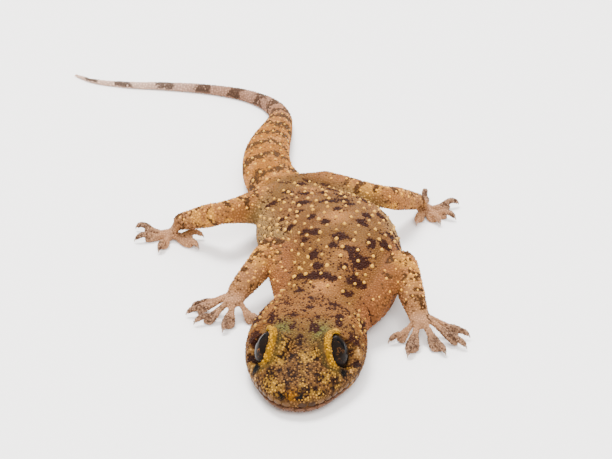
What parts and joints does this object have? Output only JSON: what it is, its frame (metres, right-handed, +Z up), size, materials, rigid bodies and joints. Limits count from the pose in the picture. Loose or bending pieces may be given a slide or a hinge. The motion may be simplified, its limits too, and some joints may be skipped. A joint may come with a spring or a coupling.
{
  "type": "still model of a mediterranean house gecko",
  "caption": "Life-size still model of a Mediterranean house gecko, low on the floor with its body curved, head to the front and tail swept sideways.",
  "frame": {"origin": "on the floor, under the middle of the whole animal's bounding box", "axes": "+Z up from the floor; +Y runs along the animal's length from the head end towards the tail end; +X is to the animal's left"},
  "size_m": [0.0429, 0.082, 0.0075],
  "materials": {
    "skin_head": "fine granular scales, satin",
    "skin_throat": "smooth small scales, satin",
    "skin_back": "granular scales with raised tubercles, satin",
    "skin_tail": "banded small scales, satin",
    "skin_limb": "small scales, satin",
    "skin_foot": "small scales and toe plates, satin",
    "eye": "polished, dark"
  },
  "bodies": {
    "root": {"head": "skin_head", "lower_jaw": "skin_throat", "eye_left": "eye", "eye_right": "eye", "neck": "skin_back", "torso": "skin_back", "tail_1": "skin_tail", "tail_2": "skin_tail", "tail_3": "skin_tail", "tail_4": "skin_tail", "front_left_upper_arm": "skin_limb", "front_left_forearm": "skin_limb", "front_left_hand": "skin_foot", "front_right_upper_arm": "skin_limb", "front_right_forearm": "skin_limb", "front_right_hand": "skin_foot", "hind_left_thigh": "skin_limb", "hind_left_shank": "skin_limb", "hind_left_foot": "skin_foot", "hind_right_thigh": "skin_limb", "hind_right_shank": "skin_limb", "hind_right_foot": "skin_foot"}
  },
  "joints": []
}
